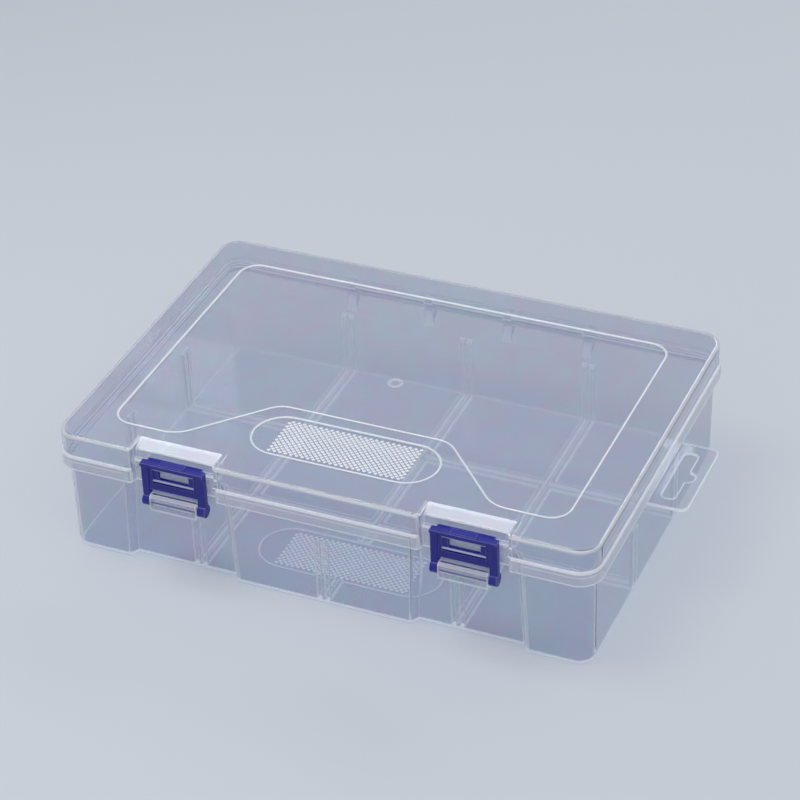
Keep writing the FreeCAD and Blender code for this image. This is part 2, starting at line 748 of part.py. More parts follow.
def make_latch(side):
    """A blue latch: plate with dish and window, side rails as legs, lip, hook and pivot bar."""
    body = new_body("latch_left" if side < 0 else "latch_right")
    middle = S.latch_offset * side
    half_latch = S.latch_width / 2
    back = pivot_y + S.pivot_inset
    front = back - S.plate_thick
    rail_front = front - S.rail_rise
    base = pivot_height
    top = base + S.plate_top
    lip_low = top - S.lip_height
    plate = new_sketch(body, "plate", "YZ_Plane", middle)
    rectangle(plate, front, back, base + S.plate_foot, top)
    pad(body, "plate", plate, S.latch_width, both=True)
    lip = new_sketch(body, "lip", "YZ_Plane", middle)
    rectangle(lip, front - S.lip_out, back, lip_low, top)
    pad(body, "lip", lip, S.latch_width, both=True)
    round_edges(body, "lip_edge", S.hook_round,
                lambda edge: near(edge.CenterOfMass.y, front - S.lip_out) and edge.BoundBox.ZLength < 0.02)
    rails = [(middle + (half_latch - S.rail_width / 2) * end, name)
             for end, name in zip(SIDES, ("rail_a", "rail_b"))]
    for rail_middle, name in rails:
        rail = new_sketch(body, name, "YZ_Plane", rail_middle)
        rectangle(rail, rail_front, back, base, lip_low)
        pad(body, name, rail, S.rail_width, both=True)
    round_edges(body, "rail_edges", S.rail_round,
                lambda edge: upright(edge, base, lip_low) and near(edge.CenterOfMass.y, rail_front))
    for rail_middle, name in rails:
        knob = new_sketch(body, name + "_knob", "YZ_Plane", rail_middle)
        circle(knob, pivot_y, base, S.knob_diameter)
        pad(body, name + "_knob", knob, S.rail_width, both=True)
    bar = new_sketch(body, "bar", "YZ_Plane", middle)
    circle(bar, pivot_y, base, S.bar_diameter)
    pad(body, "bar", bar, S.latch_width - S.rail_width, both=True)
    dish = new_sketch(body, "dish", "XZ_Plane", -front - S.dish_sink)
    half_dish = S.dish_width / 2
    rectangle(dish, middle - half_dish, middle + half_dish, base + S.dish_low, base + S.dish_high)
    pocket(body, "dish", dish, S.dish_sink, reverse=True)
    ridges = new_sketch(body, "ridges", "XZ_Plane", -front)
    for ridge_low in (base + S.dish_low - S.ridge_width, base + S.dish_high):
        rectangle(ridges, middle - half_dish, middle + half_dish, ridge_low, ridge_low + S.ridge_width)
    pad(body, "ridges", ridges, S.ridge_out)
    round_edges(body, "ridge_edges", S.ridge_round,
                lambda edge: near(edge.CenterOfMass.y, front - S.ridge_out) and edge.BoundBox.XLength > 1)
    window = new_sketch(body, "window", "XZ_Plane", -back)
    half_window = S.window_width / 2
    rectangle(window, middle - half_window, middle + half_window,
              base + S.window_low, base + S.window_high)
    pocket(body, "window", window, S.plate_thick, reverse=True)
    hook = new_sketch(body, "hook", "YZ_Plane", middle)
    rectangle(hook, back, back + S.hook_reach, lip_low, top)
    pad(body, "hook", hook, S.hook_width, both=True)
    thumb = new_sketch(body, "thumb", "YZ_Plane", middle)
    rectangle(thumb, front - S.lip_out + S.hook_round, back, top, top + S.thumb_rise)
    pad(body, "thumb", thumb, S.thumb_width, both=True)
    return body


def make_pin():
    body = new_body("hinge_pin")
    pin = new_sketch(body, "pin", "YZ_Plane")
    circle(pin, hinge_y, hinge_height, S.pin_diameter)
    pad(body, "pin", pin, pin_length, both=True)
    return body


bodies = [make_base(), make_lid(), make_pin()] + [make_latch(side) for side in SIDES]
doc.recompute()

for item in doc.Objects:
    if "Invalid" in item.State or "Error" in item.State:
        raise RuntimeError(f"{item.Name} is {item.State}")
os.makedirs("parts", exist_ok=True)
for body in bodies:
    shape = body.Shape
    if shape.isNull() or not shape.isValid() or len(shape.Solids) != 1:
        raise RuntimeError(f"{body.Label} is not one valid solid")
    shape.exportStep(f"parts/{body.Label}.step")
    box = shape.BoundBox
    print(f"{body.Label}: {box.XLength:.1f} x {box.YLength:.1f} x {box.ZLength:.1f} mm")
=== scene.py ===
"""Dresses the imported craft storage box: clear tray and lid, blue latches, grips, beads and a studio."""
import json
import math

import bmesh
import bpy
from bpy.props import FloatProperty, FloatVectorProperty, IntProperty, PointerProperty
from mathutils import Matrix, Vector


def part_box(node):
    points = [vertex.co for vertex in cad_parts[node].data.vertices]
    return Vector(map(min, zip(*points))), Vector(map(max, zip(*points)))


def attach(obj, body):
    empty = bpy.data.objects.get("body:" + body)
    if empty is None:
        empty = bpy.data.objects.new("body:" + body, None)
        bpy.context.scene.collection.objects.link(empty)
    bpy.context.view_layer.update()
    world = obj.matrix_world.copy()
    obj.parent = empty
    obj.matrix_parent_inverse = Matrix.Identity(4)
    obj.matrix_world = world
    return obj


bl_info = {
    "name": "Craft Storage Box",
    "version": (1, 0, 0),
    "blender": (4, 5, 0),
    "location": "View3D > Sidebar > Storage Box",
    "description": "Builds the looks of a clear craft storage box round its packed frame",
    "category": "Object",
}

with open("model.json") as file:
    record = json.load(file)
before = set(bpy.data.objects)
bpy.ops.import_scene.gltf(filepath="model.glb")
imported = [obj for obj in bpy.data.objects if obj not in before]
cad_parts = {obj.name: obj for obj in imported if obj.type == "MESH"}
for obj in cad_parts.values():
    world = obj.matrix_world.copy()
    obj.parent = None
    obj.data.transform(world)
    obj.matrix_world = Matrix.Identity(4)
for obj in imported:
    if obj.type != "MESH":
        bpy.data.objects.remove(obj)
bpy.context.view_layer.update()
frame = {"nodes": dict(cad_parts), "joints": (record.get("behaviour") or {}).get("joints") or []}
MM = 0.001

# Keeps two faces from lying in one plane.
HAIR = 0.02 * MM


def linear(code):
    """An sRGB hex colour as linear red, green and blue."""
    parts = [int(code[i:i + 2], 16) / 255 for i in (1, 3, 5)]
    return tuple(c / 12.92 if c <= 0.04045 else ((c + 0.055) / 1.055) ** 2.4 for c in parts)


class StorageBoxShape(bpy.types.PropertyGroup):
    """Sizes of the grip patterns, beads and latch ridges that the looks add to the frame."""
    grip_pitch: FloatProperty(
        name="Grip pitch", description="Spacing of the pyramids along a row",
        default=2.45 * MM, unit="LENGTH", precision=5)
    grip_rise: FloatProperty(
        name="Grip rise", description="Height of a pyramid over the recess floor",
        default=0.45 * MM, unit="LENGTH", precision=5)
    grip_fill: FloatProperty(
        name="Grip fill", description="Share of its cell that a pyramid's foot takes",
        subtype="FACTOR", default=0.74)
    grip_columns: IntProperty(
        name="Grip columns", description="Pyramids along a row", default=24)
    grip_rows: IntProperty(
        name="Grip rows", description="Rows of pyramids across a patch", default=18)
    grip_forward: FloatProperty(
        name="Grip forward", description="From the middle of the box to the middle of a patch",
        default=50.8 * MM, unit="LENGTH", precision=5)
    patch_sink: FloatProperty(
        name="Patch sink", description="Depth of the recess that holds a patch",
        default=0.4 * MM, unit="LENGTH", precision=5)
    patch_width: FloatProperty(
        name="Patch width", description="Length of a grip patch with its round ends",
        default=80.6 * MM, unit="LENGTH", precision=5)
    patch_depth: FloatProperty(
        name="Patch depth", description="Grip patch from front to rear",
        default=26.2 * MM, unit="LENGTH", precision=5)
    floor_thick: FloatProperty(
        name="Floor thickness", description="Thickness of the tray's floor",
        default=1.6 * MM, unit="LENGTH", precision=5)
    tier_height: FloatProperty(
        name="Tier height", description="From the lid's ledge to its top",
        default=10.0 * MM, unit="LENGTH", precision=5)
    panel_width: FloatProperty(
        name="Panel width", description="Width of the lid's sunk panel",
        default=197.0 * MM, unit="LENGTH", precision=5)
    panel_rear: FloatProperty(
        name="Panel rear", description="From the middle of the box to the panel's rear edge",
        default=64.2 * MM, unit="LENGTH", precision=5)
    panel_front: FloatProperty(
        name="Panel front", description="From the middle of the box to the panel's front edge at its sides",
        default=64.8 * MM, unit="LENGTH", precision=5)
    panel_middle: FloatProperty(
        name="Panel middle", description="From the middle of the box to the panel's edge behind the patch",
        default=31.5 * MM, unit="LENGTH", precision=5)
    panel_round: FloatProperty(
        name="Panel round", description="Radius of the panel's four corners",
        default=8.5 * MM, unit="LENGTH", precision=5)
    wave_outer: FloatProperty(
        name="Wave outer", description="Where the panel's front edge starts to swing to the rear",
        default=68.6 * MM, unit="LENGTH", precision=5)
    wave_outer_round: FloatProperty(
        name="Wave outer round", description="Radius of the panel's edge where it starts to swing",
        default=14.0 * MM, unit="LENGTH", precision=5)
    wave_inner: FloatProperty(
        name="Wave inner", description="Where the panel's front edge has swung to the rear",
        default=37.4 * MM, unit="LENGTH", precision=5)
    wave_inner_round: FloatProperty(
        name="Wave inner round", description="Radius of the panel's edge where it has swung",
        default=11.0 * MM, unit="LENGTH", precision=5)
    bead_width: FloatProperty(
        name="Bead width", description="Width of the fine bead round panel and patches",
        default=0.95 * MM, unit="LENGTH", precision=5)
    bead_rise: FloatProperty(
        name="Bead rise", description="Height of the bead over the face round it",
        default=0.16 * MM, unit="LENGTH", precision=5)
    dish_forward: FloatProperty(
        name="Dish forward", description="From a latch's pivot forward to the floor of its dish",
        default=0.15 * MM, unit="LENGTH", precision=5)
    ridge_length: FloatProperty(
        name="Ridge length", description="Length of the two ridges on a latch",
        default=18.4 * MM, unit="LENGTH", precision=5)
    ridge_out: FloatProperty(
        name="Ridge reach", description="From the dish floor to the front of a ridge",
        default=0.65 * MM, unit="LENGTH", precision=5)
    ridge_slope: FloatProperty(
        name="Ridge slope", description="Fall of a ridge's sloping top from the dish floor to its front",
        default=0.3 * MM, unit="LENGTH", precision=5)
    lower_ridge: FloatVectorProperty(
        name="Lower ridge", description="Foot and head of the lower ridge over the latch's pivot",
        size=2, default=(9.85 * MM, 10.4 * MM), unit="LENGTH", precision=5)
    upper_ridge: FloatVectorProperty(
        name="Upper ridge", description="Foot and head of the upper ridge over the latch's pivot",
        size=2, default=(15.4 * MM, 15.9 * MM), unit="LENGTH", precision=5)


class StorageBoxFinish(bpy.types.PropertyGroup):
    """Colours of the mouldings, how clear they are and the sizes of the marks in their surface."""
    clear_colour: FloatVectorProperty(
        name="Clear plastic", description="What a clear wall lets through of light from lamps and surfaces",
        subtype="COLOR", default=linear("#f5f7fa"))
    # The white of the clear plastic's edges, its width and what is left of clearness there paint a highlight
    # along sharp edges.
    edge_highlight_colour: FloatVectorProperty(
        name="Clear edges", description="White of the clear plastic's edges",
        subtype="COLOR", default=linear("#f7f8fc"))
    wall_clearness: FloatProperty(
        name="Wall clearness", description="Share of light that walls let through unscattered",
        subtype="FACTOR", default=0.96)
    # The beads are made milkier than the walls so that they read as white lines, partly a painted highlight.
    bead_highlight_clearness: FloatProperty(
        name="Bead clearness", description="The same for the fine beads, which scatter more",
        subtype="FACTOR", default=0.55)
    edge_width: FloatProperty(
        name="Edge width", description="Width of the whiter line where light gathers along a sharp edge",
        default=0.9 * MM, unit="LENGTH", precision=5)
    edge_highlight_clearness: FloatProperty(
        name="Edge clearness", description="What is left of the clearness along a sharp edge",
        subtype="FACTOR", default=0.2)
    # Painted highlight on rounded edges.
    round_highlight: FloatProperty(
        name="Round haze", description="How far a rounded edge is on the way to a sharp edge's white",
        subtype="FACTOR", default=0.5)
    thick_haze: FloatProperty(
        name="Thick haze", description="The same for the thick skirt of the lid",
        subtype="FACTOR", default=0.3)
    flow_size: FloatProperty(
        name="Flow size", description="Width of the tinted bands that the flow left in the clear plastic",
        default=34.0 * MM, unit="LENGTH", precision=5)
    ripple_size: FloatProperty(
        name="Ripple size", description="Width of the slow ripples in a clear wall",
        default=7.0 * MM, unit="LENGTH", precision=5)
    ripple_depth: FloatProperty(
        name="Ripple depth", description="Height of the slow ripples in a clear wall",
        default=0.05 * MM, unit="LENGTH", precision=5)
    latch_colour: FloatVectorProperty(
        name="Latch plastic", description="Colour of the latches",
        subtype="COLOR", default=linear("#0f1286"))
    # The ridges' pale colour is a painted highlight.
    ridge_highlight_colour: FloatVectorProperty(
        name="Latch ridges", description="Colour of the latches' ridges, rubbed bright by fingers",
        subtype="COLOR", default=linear("#d3d6f3"))
    # The latches' paler edges are a painted highlight.
    latch_highlight_colour: FloatVectorProperty(
        name="Worn edges", description="Colour of the latches' handled edges",
        subtype="COLOR", default=linear("#7f86dc"))
    latch_highlight_width: FloatProperty(
        name="Wear width", description="Width of the paler line along a latch's handled edges",
        default=0.35 * MM, unit="LENGTH", precision=5)
    polish_size: FloatProperty(
        name="Polish size", description="Width of the duller and glossier spots on a latch",
        default=4.0 * MM, unit="LENGTH", precision=5)
    grain_size: FloatProperty(
        name="Grain size", description="Width of the fine grain on a latch",
        default=0.8 * MM, unit="LENGTH", precision=5)
    grain_depth: FloatProperty(
        name="Grain depth", description="Height of the fine grain on a latch",
        default=0.03 * MM, unit="LENGTH", precision=5)


class StorageBoxStage(bpy.types.PropertyGroup):
    """Floor, surroundings and camera."""
    floor_colour: FloatVectorProperty(
        name="Floor", description="Colour of the floor",
        subtype="COLOR", default=linear("#c9ced6"))
    floor_size: FloatProperty(
        name="Floor size", description="Length of the floor's sides",
        default=12.0, unit="LENGTH")
    ambient_colour: FloatVectorProperty(
        name="Ambient", description="Colour of the light from all round",
        subtype="COLOR", default=linear("#f2f5fa"))
    ambient_strength: FloatProperty(
        name="Ambient strength", description="Strength of the light from all round", default=0.34)
    backdrop_colour: FloatVectorProperty(
        name="Backdrop", description="Colour of the surroundings where they are seen",
        subtype="COLOR", default=linear("#dfe3e8"))
    view_target: FloatVectorProperty(
        name="View target", description="Point that the camera looks at",
        subtype="TRANSLATION", default=(-10.5 * MM, 27.1 * MM, 29.0 * MM))
    view_distance: FloatProperty(
        name="View distance", description="From the target to the camera",
        default=1187.1 * MM, unit="LENGTH")
    view_azimuth: FloatProperty(
        name="View azimuth", description="Turn of the camera from straight in front towards the hang tab",
        default=math.radians(24.49), subtype="ANGLE")
    view_elevation: FloatProperty(
        name="View elevation", description="Height of the camera as an angle",
        default=math.radians(34.50), subtype="ANGLE")
    view_roll: FloatProperty(
        name="View roll", description="Tilt of the picture",
        default=math.radians(-2.37), subtype="ANGLE")
    view_lens: FloatProperty(
        name="View lens", description="Focal length of the camera",
        default=124.9, unit="CAMERA")
    view_sensor: FloatProperty(
        name="View sensor", description="Width of the camera's sensor",
        default=36.0, unit="CAMERA")


# Numbers of the Mix node's two colour inputs and of its colour output.
MIX_FIRST, MIX_SECOND, MIX_RESULT = 6, 7, 2

POLYPROPYLENE_IOR = 1.49

# Where along the flow each tint of the clear plastic lies: blue, with a narrow band of pink and of green.
FLOW_TINTS = ((0.0, "#dfe3ec"), (0.38, "#dde2ec"), (0.47, "#e3dfea"), (0.55, "#dde5ea"), (0.66, "#dfe3ee"))

# Where each painted highlight of the clear plastic and of the latches' edges starts and where it is full: an
# edge by the cosine of its turn, caught light by how slanting the wall is seen, a round by the slope of its
# normal.
CLEAR_EDGE_HIGHLIGHT = (0.985, 0.86)
LATCH_EDGE_HIGHLIGHT = (0.97, 0.75)
CAUGHT_SLANT = (0.28, 0.5)
ROUND_HIGHLIGHT_SLOPE = (0.06, 0.3)

# Half the height over which the lid's thick skirt fades into its thinner upper tier.
SKIRT_FADE = 0.2 * MM

# Roughness of a latch where the mould's polish is best and where it is most worn.
LATCH_ROUGHNESS = (0.18, 0.3)


def add_node(tree, kind, inputs=None, **settings):
    """A node with its settings. Its inputs, by name or number, take a value or the socket to link."""
    node = tree.nodes.new(kind)
    for name, value in settings.items():
        setattr(node, name, value)
    for name, value in (inputs or {}).items():
        if isinstance(value, bpy.types.NodeSocket):
            tree.links.new(value, node.inputs[name])
        else:
            node.inputs[name].default_value = value
    return node


def new_material(name):
    """A material and its node tree, empty."""
    material = bpy.data.materials.new(name)
    material.use_nodes = True
    material.node_tree.nodes.clear()
    return material, material.node_tree


def edge_mask(tree, width, turn):
    """1 along the sharp edges, over a line of the width given, and 0 on the faces between them."""
    facet = add_node(tree, "ShaderNodeNewGeometry")
    corner = add_node(tree, "ShaderNodeBevel", {"Radius": width}, samples=4)
    bend = add_node(tree, "ShaderNodeVectorMath", {
        0: facet.outputs["Normal"], 1: corner.outputs["Normal"]}, operation="DOT_PRODUCT")
    edge = add_node(tree, "ShaderNodeMapRange", {
        "Value": bend.outputs["Value"], "From Min": turn[0], "From Max": turn[1]})
    return edge.outputs["Result"]


def painted_caught_light_mask(tree):
    """1 where a wall is seen slanting from inside it, and 0 elsewhere."""
    # Where it is 1 the wall is painted whiter, a painted highlight of light caught in it.
    facet = add_node(tree, "ShaderNodeNewGeometry")
    view = add_node(tree, "ShaderNodeLayerWeight", {"Blend": 0.5})
    slant = add_node(tree, "ShaderNodeMapRange", {
        "Value": view.outputs["Facing"], "From Min": CAUGHT_SLANT[0], "From Max": CAUGHT_SLANT[1]})
    caught = add_node(tree, "ShaderNodeMath", {
        0: slant.outputs["Result"], 1: facet.outputs["Backfacing"]}, operation="MULTIPLY")
    return caught.outputs[0]


def thick_mask(tree, place, haze, thick_below):
    """The haze given below a height, and 0 over it."""
    spot = add_node(tree, "ShaderNodeSeparateXYZ", {"Vector": place.outputs["Object"]})
    thick = add_node(tree, "ShaderNodeMapRange", {
        "Value": spot.outputs["Z"], "From Min": thick_below + SKIRT_FADE,
        "From Max": thick_below - SKIRT_FADE, "To Max": haze})
    return thick.outputs["Result"]


def round_highlight_mask(tree, place, haze):
    """The painted highlight given on the rounds between level and upright faces, and 0 on those faces."""
    normal = add_node(tree, "ShaderNodeSeparateXYZ", {"Vector": place.outputs["Normal"]})
    # The fold at a half brings a level face's 1 back to 0, so that only slopes keep a value.
    slope = add_node(tree, "ShaderNodeMath", {0: normal.outputs["Z"], 1: 0.5}, operation="PINGPONG")
    rounded = add_node(tree, "ShaderNodeMapRange", {
        "Value": slope.outputs[0], "From Min": ROUND_HIGHLIGHT_SLOPE[0], "From Max": ROUND_HIGHLIGHT_SLOPE[1], "To Max": haze})
    return rounded.outputs["Result"]


def flow_tints(tree, place, size):
    """The faint tints that the flow of plastic left as it froze."""
    flow = add_node(tree, "ShaderNodeTexNoise", {
        "Vector": place.outputs["Object"], "Scale": 1 / size, "Detail": 2, "Distortion": 1.2})
    tints = add_node(tree, "ShaderNodeValToRGB", {"Fac": flow.outputs["Fac"]})
    stops = tints.color_ramp.elements
    while len(stops) < len(FLOW_TINTS):
        stops.new(1)
    for stop, (spot, code) in zip(stops, FLOW_TINTS):
        stop.position = spot
        stop.color = (*linear(code), 1)
    return tints.outputs["Color"]


def clear_polypropylene(name, finish, clearness, thick_below=0):
    """Moulded clear polypropylene, its clearness from 0, milky, to 1, like glass."""
    # Cooled against polished steel it is glossy and see-through, and its crystals give it a faint blue haze.
    # The flow that froze in the mould leaves tints of pink and green and a slow ripple in reflections. It is
    # whiter in the lid's thick skirt, which cooled slowly and so grew more crystals. Along sharp and rounded
    # edges and where a wall is seen slanting from inside it, it is painted whiter: painted highlights. To
    # light from lamps and from other surfaces it is a thin film, which keeps shadows pale and soft.
    material, tree = new_material(name)
    place = add_node(tree, "ShaderNodeTexCoord")
    ripple = add_node(tree, "ShaderNodeTexNoise", {
        "Vector": place.outputs["Object"], "Scale": 1 / finish.ripple_size, "Detail": 1})
    bump = add_node(tree, "ShaderNodeBump", {
        "Height": ripple.outputs["Fac"], "Strength": 0.12, "Distance": finish.ripple_depth})
    # Whiter along sharp edges, on rounds and where a wall is seen slanting from inside: painted highlights.
    # The thick skirt's milkiness is the plastic's own.
    milky = edge_mask(tree, finish.edge_width, CLEAR_EDGE_HIGHLIGHT)
    for mask in (painted_caught_light_mask(tree), thick_mask(tree, place, finish.thick_haze, thick_below),
                 round_highlight_mask(tree, place, finish.round_highlight)):
        either = add_node(tree, "ShaderNodeMath", {0: milky, 1: mask}, operation="MAXIMUM")
        milky = either.outputs[0]
    tint = add_node(tree, "ShaderNodeMix", {
        "Factor": milky, MIX_FIRST: flow_tints(tree, place, finish.flow_size),
        MIX_SECOND: (*finish.edge_highlight_colour, 1)}, data_type="RGBA")
    share = add_node(tree, "ShaderNodeMapRange", {
        "Value": milky, "To Min": clearness, "To Max": clearness * finish.edge_highlight_clearness})
    wall = add_node(tree, "ShaderNodeBsdfPrincipled", {
        "Base Color": tint.outputs[MIX_RESULT], "Normal": bump.outputs["Normal"],
        "Transmission Weight": share.outputs["Result"], "Roughness": 0.05, "IOR": POLYPROPYLENE_IOR})
    film = add_node(tree, "ShaderNodeBsdfTransparent", {"Color": (*finish.clear_colour, 1)})
    path = add_node(tree, "ShaderNodeLightPath")
    scattered = add_node(tree, "ShaderNodeMixShader", {
        0: path.outputs["Is Diffuse Ray"], 1: wall.outputs[0], 2: film.outputs[0]})
    shaded = add_node(tree, "ShaderNodeMixShader", {
        0: path.outputs["Is Shadow Ray"], 1: scattered.outputs[0], 2: film.outputs[0]})
    add_node(tree, "ShaderNodeOutputMaterial", {"Surface": shaded.outputs[0]})
    return material


def blue_polypropylene(name, finish, colour):
    """Moulded blue polypropylene in the colour given."""
    # Opaque and glossy, a little uneven where the mould's polish is worn, and painted paler along its edges
    # as a highlight.
    material, tree = new_material(name)
    place = add_node(tree, "ShaderNodeTexCoord")
    polish = add_node(tree, "ShaderNodeTexNoise", {
        "Vector": place.outputs["Object"], "Scale": 1 / finish.polish_size, "Detail": 3})
    gloss = add_node(tree, "ShaderNodeMapRange", {
        "Value": polish.outputs["Fac"], "To Min": LATCH_ROUGHNESS[0], "To Max": LATCH_ROUGHNESS[1]})
    grain = add_node(tree, "ShaderNodeTexNoise", {
        "Vector": place.outputs["Object"], "Scale": 1 / finish.grain_size, "Detail": 2})
    bump = add_node(tree, "ShaderNodeBump", {
        "Height": grain.outputs["Fac"], "Strength": 0.15, "Distance": finish.grain_depth})
    # Paler along the edges: a painted highlight.
    painted_edge_highlight = add_node(tree, "ShaderNodeMix", {
        "Factor": edge_mask(tree, finish.latch_highlight_width, LATCH_EDGE_HIGHLIGHT), MIX_FIRST: (*colour, 1),
        MIX_SECOND: (*finish.latch_highlight_colour, 1)}, data_type="RGBA")
    shader = add_node(tree, "ShaderNodeBsdfPrincipled", {
        "Base Color": painted_edge_highlight.outputs[MIX_RESULT], "Roughness": gloss.outputs["Result"],
        "Normal": bump.outputs["Normal"], "IOR": POLYPROPYLENE_IOR})
    add_node(tree, "ShaderNodeOutputMaterial", {"Surface": shader.outputs[0]})
    return material


def floor_paint(name, colour):
    """Rolled floor paint."""
    # Matt and even, so it shows the box's soft shadow and next to no reflection.
    material, tree = new_material(name)
    shader = add_node(tree, "ShaderNodeBsdfPrincipled", {"Base Color": (*colour, 1), "Roughness": 0.7})
    add_node(tree, "ShaderNodeOutputMaterial", {"Surface": shader.outputs[0]})
    return material


def new_piece(name, work, material):
    """The object made from a finished bmesh."""
    mesh = bpy.data.meshes.new(name)
    work.to_mesh(mesh)
    work.free()
    mesh.materials.append(material)
    piece = bpy.data.objects.new(name, mesh)
    bpy.context.scene.collection.objects.link(piece)
    return piece


def grip_pattern(name, shape, recess_floor, material):
    """Rows of diamond pyramids, every other row shifted by half a pitch."""
    half_pitch = shape.grip_pitch / 2
    foot = half_pitch * shape.grip_fill
    middle_row = (shape.grip_rows - 1) / 2
    middle_column = (shape.grip_columns - 1) / 2
    work = bmesh.new()
    for row in range(shape.grip_rows):
        shift = half_pitch / 2 if row % 2 else -half_pitch / 2
        y = (row - middle_row) * half_pitch - shape.grip_forward
        for column in range(shape.grip_columns):
            x = (column - middle_column) * shape.grip_pitch + shift
            corners = [work.verts.new((x + a * foot, y + b * foot, recess_floor + HAIR))
                       for a, b in ((1, 0), (0, 1), (-1, 0), (0, -1))]
            peak = work.verts.new((x, y, recess_floor + shape.grip_rise))
            work.faces.new(reversed(corners))
            for index, corner in enumerate(corners):
                work.faces.new((corner, corners[(index + 1) % len(corners)], peak))
    return new_piece(name, work, material)


def panel_outline(shape):
    """Corners of the lid's sunk panel, with a radius each, against the clock."""
    side = shape.panel_width / 2
    right = [((shape.wave_inner, -shape.panel_middle), shape.wave_inner_round),
             ((shape.wave_outer, -shape.panel_front), shape.wave_outer_round),
             ((side, -shape.panel_front), shape.panel_round),
             ((side, shape.panel_rear), shape.panel_round)]
    return right + [((-x, y), radius) for (x, y), radius in reversed(right)]


def patch_outline(shape):
    """Corners of a grip patch with round ends, with a radius each, against the clock."""
    side, end = shape.patch_width / 2, shape.patch_depth / 2
    near, far = -shape.grip_forward - end, -shape.grip_forward + end
    # Just short of half the depth, so that the two rounds of an end share no point.
    radius = end * 0.999
    return [(corner, radius) for corner in ((-side, near), (side, near), (side, far), (-side, far))]


def rounded_path(corners, steps=10):
    """Points along a closed outline, from corners with a radius each, its rounds divided into steps."""
    points = []
    count = len(corners)
    for index, (corner, radius) in enumerate(corners):
        here = Vector(corner)
        back = (Vector(corners[index - 1][0]) - here).normalized()
        ahead = (Vector(corners[(index + 1) % count][0]) - here).normalized()
        half_turn = math.acos(max(-1, min(1, back.dot(ahead)))) / 2
        centre = here + (back + ahead).normalized() * (radius / math.sin(half_turn))
        start = here + back * (radius / math.tan(half_turn)) - centre
        end = here + ahead * (radius / math.tan(half_turn)) - centre
        sweep = math.atan2(start.x * end.y - start.y * end.x, start.dot(end))
        for step in range(steps + 1):
            turn = sweep * step / steps
            points.append(centre + Matrix.Rotation(turn, 2) @ start)
    return points


def bead(name, path, width, foot, top, material, steps=8):
    """A closed ring of half round section along a level path that runs against the clock."""
    work = bmesh.new()
    rings = []
    count = len(path)
    for index, point in enumerate(path):
        along = (path[(index + 1) % count] - path[index - 1]).normalized()
        outward = Vector((along.y, -along.x))
        ring = []
        for step in range(steps + 1):
            turn = math.pi * step / steps
            spot = point + outward * (width / 2 * math.cos(turn))
            ring.append(work.verts.new((spot.x, spot.y, foot + (top - foot) * math.sin(turn))))
        rings.append(ring)
    for index, ring in enumerate(rings):
        after = rings[(index + 1) % count]
        for step in range(steps + 1):
            beside = (step + 1) % (steps + 1)
            face = work.faces.new((ring[step], after[step], after[beside], ring[beside]))
            face.smooth = step < steps
    bmesh.ops.recalc_face_normals(work, faces=work.faces)
    return new_piece(name, work, material)


def ridge_bars(name, shape, pivot, material):
    """The two ridges over and under a latch's window, each with a sloping top."""
    dish_floor = pivot.y - shape.dish_forward
    front = dish_floor - shape.ridge_out
    half = shape.ridge_length / 2
    work = bmesh.new()
    for foot, head in (shape.lower_ridge, shape.upper_ridge):
        low, high = pivot.z + foot, pivot.z + head
        profile = ((dish_floor, low), (front, low), (front, high - shape.ridge_slope), (dish_floor, high))
        left, right = ([work.verts.new((x, y, z)) for y, z in profile]
                       for x in (pivot.x - half, pivot.x + half))
        work.faces.new(reversed(left))
        work.faces.new(right)
        for index in range(len(profile)):
            after = (index + 1) % len(profile)
            work.faces.new((left[index], left[after], right[after], right[index]))
    bmesh.ops.recalc_face_normals(work, faces=work.faces)
    return new_piece(name, work, material)


def dress(node, material):
    """Gives a CAD node its finish."""
    slots = frame["nodes"][node].data.materials
    slots.clear()
    slots.append(material)


class OBJECT_OT_box_mouldings(bpy.types.Operator):
    """Finishes the clear tray, lid and hinge pin"""
    bl_idname = "object.box_mouldings"
    bl_label = "Clear mouldings"

    def execute(self, context):
        finish = context.scene.storage_box_finish
        clear = clear_polypropylene("moulded_clear_polypropylene", finish, finish.wall_clearness)
        for node in ("base_tray", "hinge_pin"):
            dress(node, clear)
        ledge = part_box("lid")[1].z - context.scene.storage_box_shape.tier_height
        dress("lid", clear_polypropylene("moulded_lid_polypropylene", finish, finish.wall_clearness, ledge))
        return {"FINISHED"}


class OBJECT_OT_box_grips(bpy.types.Operator):
    """Raises the grip patterns in the recesses of lid and tray floor"""
    bl_idname = "object.box_grips"
    bl_label = "Grip patterns"

    def execute(self, context):
        shape = context.scene.storage_box_shape
        lid_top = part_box("lid")[1].z
        for name, body, node, face in (("lid_grip_pattern", "lid", "lid", lid_top),
                                       ("floor_grip_pattern", "base", "base_tray", shape.floor_thick)):
            clear = frame["nodes"][node].data.materials[0]
            piece = grip_pattern(name, shape, face - shape.patch_sink, clear)
            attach(piece, body)
        return {"FINISHED"}


class OBJECT_OT_box_beads(bpy.types.Operator):
    """Runs the fine bead round the lid's panel and round both grip patches"""
    bl_idname = "object.box_beads"
    bl_label = "Fine beads"

    def execute(self, context):
        shape, finish = context.scene.storage_box_shape, context.scene.storage_box_finish
        # Milkier than the walls, so the beads read as white lines: partly a painted highlight.
        clear = clear_polypropylene("moulded_bead_polypropylene", finish, finish.bead_highlight_clearness)
        lid_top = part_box("lid")[1].z
        panel, patch = panel_outline(shape), patch_outline(shape)
        for name, body, outline, face in (("lid_panel_bead", "lid", panel, lid_top),
                                          ("lid_patch_bead", "lid", patch, lid_top),
                                          ("floor_patch_bead", "base", patch, shape.floor_thick)):
            foot, top = face - shape.patch_sink, face + shape.bead_rise
            piece = bead(name, rounded_path(outline), shape.bead_width, foot, top, clear)
            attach(piece, body)
        return {"FINISHED"}


